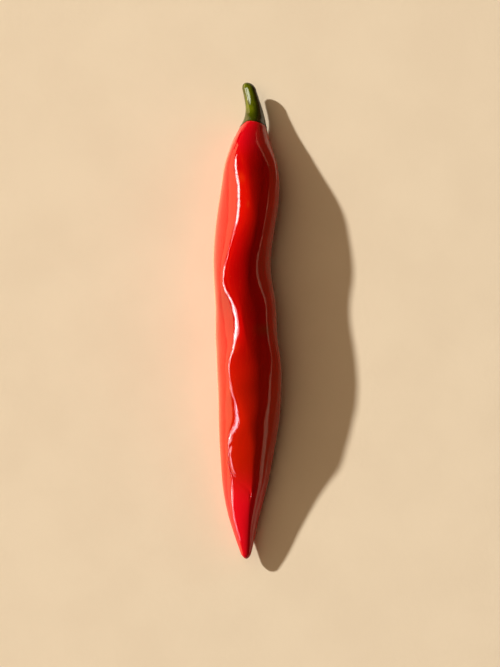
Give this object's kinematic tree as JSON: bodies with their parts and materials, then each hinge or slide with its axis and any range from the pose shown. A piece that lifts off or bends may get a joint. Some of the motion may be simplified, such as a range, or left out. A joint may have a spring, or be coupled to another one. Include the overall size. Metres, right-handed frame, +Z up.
{
  "type": "fresh red chilli pepper",
  "caption": "Long glossy red chilli pepper with a wavy, tapering pod and a short green stem whose calyx caps the pod, lying on its side.",
  "frame": {"origin": "centre of the bounding box on the surface that the chilli lies on", "axes": "+Y runs from the pod's tip to the stem, +Z is up, +X is to the right when the stem points away"},
  "size_m": [0.0186, 0.13, 0.0186],
  "materials": {
    "pod_skin": "glossy waxed skin",
    "stem_green": "smooth glossy green stalk"
  },
  "bodies": {
    "root": {"pod": "pod_skin", "stem": "stem_green"}
  },
  "joints": []
}
